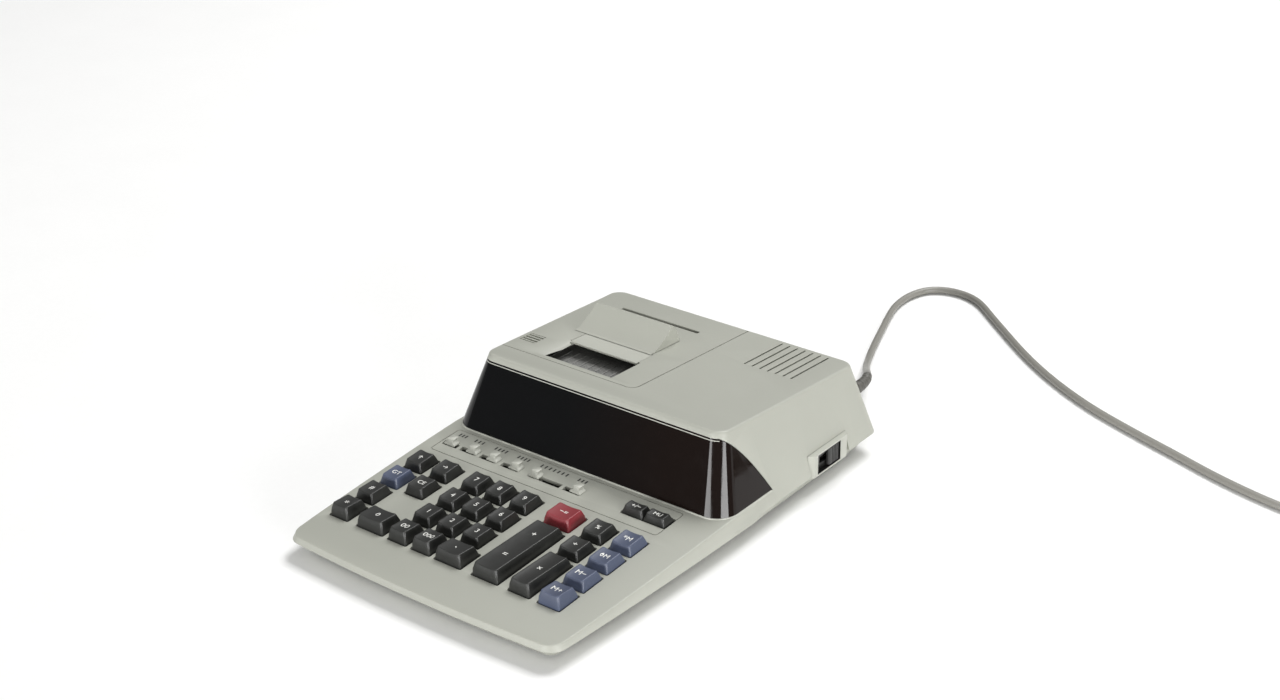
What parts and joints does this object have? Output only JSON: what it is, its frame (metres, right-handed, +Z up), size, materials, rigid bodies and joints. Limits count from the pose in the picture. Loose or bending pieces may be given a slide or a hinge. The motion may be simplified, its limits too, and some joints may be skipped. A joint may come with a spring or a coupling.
{
  "type": "desktop printing calculator",
  "caption": "Mains desktop printing calculator: wedge case with sprung keys, slide switches, dark display window, sliding printer cover with paper guide, and a coiled mains lead.",
  "frame": {"origin": "on the table, under the middle of the case", "axes": "+X to the operator's right, +Y away from the operator, +Z up"},
  "size_m": [0.5503, 0.5655, 0.0782],
  "materials": {
    "case": "warm light grey moulded plastic with a fine texture",
    "window": "polished black see-through plastic",
    "charcoal": "charcoal moulded plastic, satin",
    "blue": "slate blue moulded plastic, satin",
    "red": "dull crimson moulded plastic, satin",
    "knob": "light grey moulded plastic, satin",
    "black": "black moulded plastic, satin",
    "printer": "dark grey moulded plastic, satin",
    "steel": "plain steel",
    "rubber": "black rubber, matt",
    "board": "green circuit board",
    "glass": "clear glass tube",
    "lead": "grey PVC sheath, satin",
    "relief": "dark grey PVC, satin"
  },
  "bodies": {
    "case": {"upper_case": "case", "lower_case": "case", "display_window": "window", "foot_front_left": "rubber", "foot_front_right": "rubber", "foot_rear_left": "rubber", "foot_rear_right": "rubber", "power_switch_bezel": "knob", "key_plate": "printer", "keyboard_board": "board", "main_board": "board", "display_tube": "glass", "transformer": "steel", "printer_frame": "printer", "strain_relief": "relief", "mains_lead": "lead", "mains_lead_coil": "lead", "mains_plug": "lead"},
    "key_total": {"key_total": "charcoal"},
    "key_0": {"key_0": "charcoal"},
    "key_00": {"key_00": "charcoal"},
    "key_000": {"key_000": "charcoal"},
    "key_point": {"key_point": "charcoal"},
    "key_plus_equals": {"key_plus_equals": "charcoal"},
    "key_multiply": {"key_multiply": "charcoal"},
    "key_memory_plus": {"key_memory_plus": "blue"},
    "key_number_print": {"key_number_print": "charcoal"},
    "key_1": {"key_1": "charcoal"},
    "key_2": {"key_2": "charcoal"},
    "key_3": {"key_3": "charcoal"},
    "key_memory_minus": {"key_memory_minus": "blue"},
    "key_grand_total": {"key_grand_total": "blue"},
    "key_clear": {"key_clear": "charcoal"},
    "key_4": {"key_4": "charcoal"},
    "key_5": {"key_5": "charcoal"},
    "key_6": {"key_6": "charcoal"},
    "key_divide": {"key_divide": "charcoal"},
    "key_memory_subtotal": {"key_memory_subtotal": "blue"},
    "key_paper_feed": {"key_paper_feed": "charcoal"},
    "key_backspace": {"key_backspace": "charcoal"},
    "key_7": {"key_7": "charcoal"},
    "key_8": {"key_8": "charcoal"},
    "key_9": {"key_9": "charcoal"},
    "key_minus_equals": {"key_minus_equals": "red"},
    "key_percent": {"key_percent": "charcoal"},
    "key_memory_total": {"key_memory_total": "blue"},
    "key_change_sign": {"key_change_sign": "charcoal"},
    "key_markup": {"key_markup": "charcoal"},
    "slide_knob_printer": {"slide_knob_printer": "knob"},
    "slide_knob_item_count": {"slide_knob_item_count": "knob"},
    "slide_knob_constant": {"slide_knob_constant": "knob"},
    "slide_knob_rounding": {"slide_knob_rounding": "knob"},
    "slide_knob_decimal": {"slide_knob_decimal": "knob"},
    "slide_knob_rate": {"slide_knob_rate": "knob"},
    "power_switch_knob": {"power_switch_knob": "black"},
    "printer_cover": {"printer_cover": "case", "paper_cutter": "knob", "paper_guide": "case"},
    "feed_roller": {"feed_roller": "rubber"},
    "print_drum": {"print_drum": "printer"}
  },
  "joints": [
    {"name": "key_total_press", "type": "slide", "parent": "case", "child": "key_total", "axis": [0, 0, 1], "range_m": [-0.003, 0], "stiffness_N_per_m": 150, "springref_m": 0.002},
    {"name": "key_0_press", "type": "slide", "parent": "case", "child": "key_0", "axis": [0, 0, 1], "range_m": [-0.003, 0], "stiffness_N_per_m": 150, "springref_m": 0.002},
    {"name": "key_00_press", "type": "slide", "parent": "case", "child": "key_00", "axis": [0, 0, 1], "range_m": [-0.003, 0], "stiffness_N_per_m": 150, "springref_m": 0.002},
    {"name": "key_000_press", "type": "slide", "parent": "case", "child": "key_000", "axis": [0, 0, 1], "range_m": [-0.003, 0], "stiffness_N_per_m": 150, "springref_m": 0.002},
    {"name": "key_point_press", "type": "slide", "parent": "case", "child": "key_point", "axis": [0, 0, 1], "range_m": [-0.003, 0], "stiffness_N_per_m": 150, "springref_m": 0.002},
    {"name": "key_plus_equals_press", "type": "slide", "parent": "case", "child": "key_plus_equals", "axis": [0, 0, 1], "range_m": [-0.003, 0], "stiffness_N_per_m": 150, "springref_m": 0.002},
    {"name": "key_multiply_press", "type": "slide", "parent": "case", "child": "key_multiply", "axis": [0, 0, 1], "range_m": [-0.003, 0], "stiffness_N_per_m": 150, "springref_m": 0.002},
    {"name": "key_memory_plus_press", "type": "slide", "parent": "case", "child": "key_memory_plus", "axis": [0, 0, 1], "range_m": [-0.003, 0], "stiffness_N_per_m": 150, "springref_m": 0.002},
    {"name": "key_number_print_press", "type": "slide", "parent": "case", "child": "key_number_print", "axis": [0, 0, 1], "range_m": [-0.003, 0], "stiffness_N_per_m": 150, "springref_m": 0.002},
    {"name": "key_1_press", "type": "slide", "parent": "case", "child": "key_1", "axis": [0, 0, 1], "range_m": [-0.003, 0], "stiffness_N_per_m": 150, "springref_m": 0.002},
    {"name": "key_2_press", "type": "slide", "parent": "case", "child": "key_2", "axis": [0, 0, 1], "range_m": [-0.003, 0], "stiffness_N_per_m": 150, "springref_m": 0.002},
    {"name": "key_3_press", "type": "slide", "parent": "case", "child": "key_3", "axis": [0, 0, 1], "range_m": [-0.003, 0], "stiffness_N_per_m": 150, "springref_m": 0.002},
    {"name": "key_memory_minus_press", "type": "slide", "parent": "case", "child": "key_memory_minus", "axis": [0, 0, 1], "range_m": [-0.003, 0], "stiffness_N_per_m": 150, "springref_m": 0.002},
    {"name": "key_grand_total_press", "type": "slide", "parent": "case", "child": "key_grand_total", "axis": [0, 0, 1], "range_m": [-0.003, 0], "stiffness_N_per_m": 150, "springref_m": 0.002},
    {"name": "key_clear_press", "type": "slide", "parent": "case", "child": "key_clear", "axis": [0, 0, 1], "range_m": [-0.003, 0], "stiffness_N_per_m": 150, "springref_m": 0.002},
    {"name": "key_4_press", "type": "slide", "parent": "case", "child": "key_4", "axis": [0, 0, 1], "range_m": [-0.003, 0], "stiffness_N_per_m": 150, "springref_m": 0.002},
    {"name": "key_5_press", "type": "slide", "parent": "case", "child": "key_5", "axis": [0, 0, 1], "range_m": [-0.003, 0], "stiffness_N_per_m": 150, "springref_m": 0.002},
    {"name": "key_6_press", "type": "slide", "parent": "case", "child": "key_6", "axis": [0, 0, 1], "range_m": [-0.003, 0], "stiffness_N_per_m": 150, "springref_m": 0.002},
    {"name": "key_divide_press", "type": "slide", "parent": "case", "child": "key_divide", "axis": [0, 0, 1], "range_m": [-0.003, 0], "stiffness_N_per_m": 150, "springref_m": 0.002},
    {"name": "key_memory_subtotal_press", "type": "slide", "parent": "case", "child": "key_memory_subtotal", "axis": [0, 0, 1], "range_m": [-0.003, 0], "stiffness_N_per_m": 150, "springref_m": 0.002},
    {"name": "key_paper_feed_press", "type": "slide", "parent": "case", "child": "key_paper_feed", "axis": [0, 0, 1], "range_m": [-0.003, 0], "stiffness_N_per_m": 150, "springref_m": 0.002},
    {"name": "key_backspace_press", "type": "slide", "parent": "case", "child": "key_backspace", "axis": [0, 0, 1], "range_m": [-0.003, 0], "stiffness_N_per_m": 150, "springref_m": 0.002},
    {"name": "key_7_press", "type": "slide", "parent": "case", "child": "key_7", "axis": [0, 0, 1], "range_m": [-0.003, 0], "stiffness_N_per_m": 150, "springref_m": 0.002},
    {"name": "key_8_press", "type": "slide", "parent": "case", "child": "key_8", "axis": [0, 0, 1], "range_m": [-0.003, 0], "stiffness_N_per_m": 150, "springref_m": 0.002},
    {"name": "key_9_press", "type": "slide", "parent": "case", "child": "key_9", "axis": [0, 0, 1], "range_m": [-0.003, 0], "stiffness_N_per_m": 150, "springref_m": 0.002},
    {"name": "key_minus_equals_press", "type": "slide", "parent": "case", "child": "key_minus_equals", "axis": [0, 0, 1], "range_m": [-0.003, 0], "stiffness_N_per_m": 150, "springref_m": 0.002},
    {"name": "key_percent_press", "type": "slide", "parent": "case", "child": "key_percent", "axis": [0, 0, 1], "range_m": [-0.003, 0], "stiffness_N_per_m": 150, "springref_m": 0.002},
    {"name": "key_memory_total_press", "type": "slide", "parent": "case", "child": "key_memory_total", "axis": [0, 0, 1], "range_m": [-0.003, 0], "stiffness_N_per_m": 150, "springref_m": 0.002},
    {"name": "key_change_sign_press", "type": "slide", "parent": "case", "child": "key_change_sign", "axis": [0, 0, 1], "range_m": [-0.003, 0], "stiffness_N_per_m": 150, "springref_m": 0.002},
    {"name": "key_markup_press", "type": "slide", "parent": "case", "child": "key_markup", "axis": [0, 0, 1], "range_m": [-0.003, 0], "stiffness_N_per_m": 150, "springref_m": 0.002},
    {"name": "slide_knob_printer_slide", "type": "slide", "parent": "case", "child": "slide_knob_printer", "axis": [1, 0, 0], "range_m": [-0.003, 0.003]},
    {"name": "slide_knob_item_count_slide", "type": "slide", "parent": "case", "child": "slide_knob_item_count", "axis": [1, 0, 0], "range_m": [-0.007, 0]},
    {"name": "slide_knob_constant_slide", "type": "slide", "parent": "case", "child": "slide_knob_constant", "axis": [1, 0, 0], "range_m": [-0.0075, 0]},
    {"name": "slide_knob_rounding_slide", "type": "slide", "parent": "case", "child": "slide_knob_rounding", "axis": [1, 0, 0], "range_m": [-0.008, 0]},
    {"name": "slide_knob_decimal_slide", "type": "slide", "parent": "case", "child": "slide_knob_decimal", "axis": [1, 0, 0], "range_m": [0, 0.018]},
    {"name": "slide_knob_rate_slide", "type": "slide", "parent": "case", "child": "slide_knob_rate", "axis": [1, 0, 0], "range_m": [-0.007, 0]},
    {"name": "power_switch_slide", "type": "slide", "parent": "case", "child": "power_switch_knob", "axis": [0, 1, 0], "range_m": [-0.01, 0]},
    {"name": "printer_cover_slide", "type": "slide", "parent": "case", "child": "printer_cover", "axis": [0, 1, 0], "range_m": [0, 0.03]},
    {"name": "feed_roller_turn", "type": "hinge", "parent": "case", "child": "feed_roller", "pos_m": [0, 0.0785, 0.045], "axis": [1, 0, 0], "continuous": true},
    {"name": "print_drum_turn", "type": "hinge", "parent": "case", "child": "print_drum", "pos_m": [0, 0.0505, 0.045], "axis": [1, 0, 0], "continuous": true}
  ],
  "couplings": [
    {"joint": "print_drum_turn", "follows": "feed_roller_turn", "ratio": -1}
  ]
}
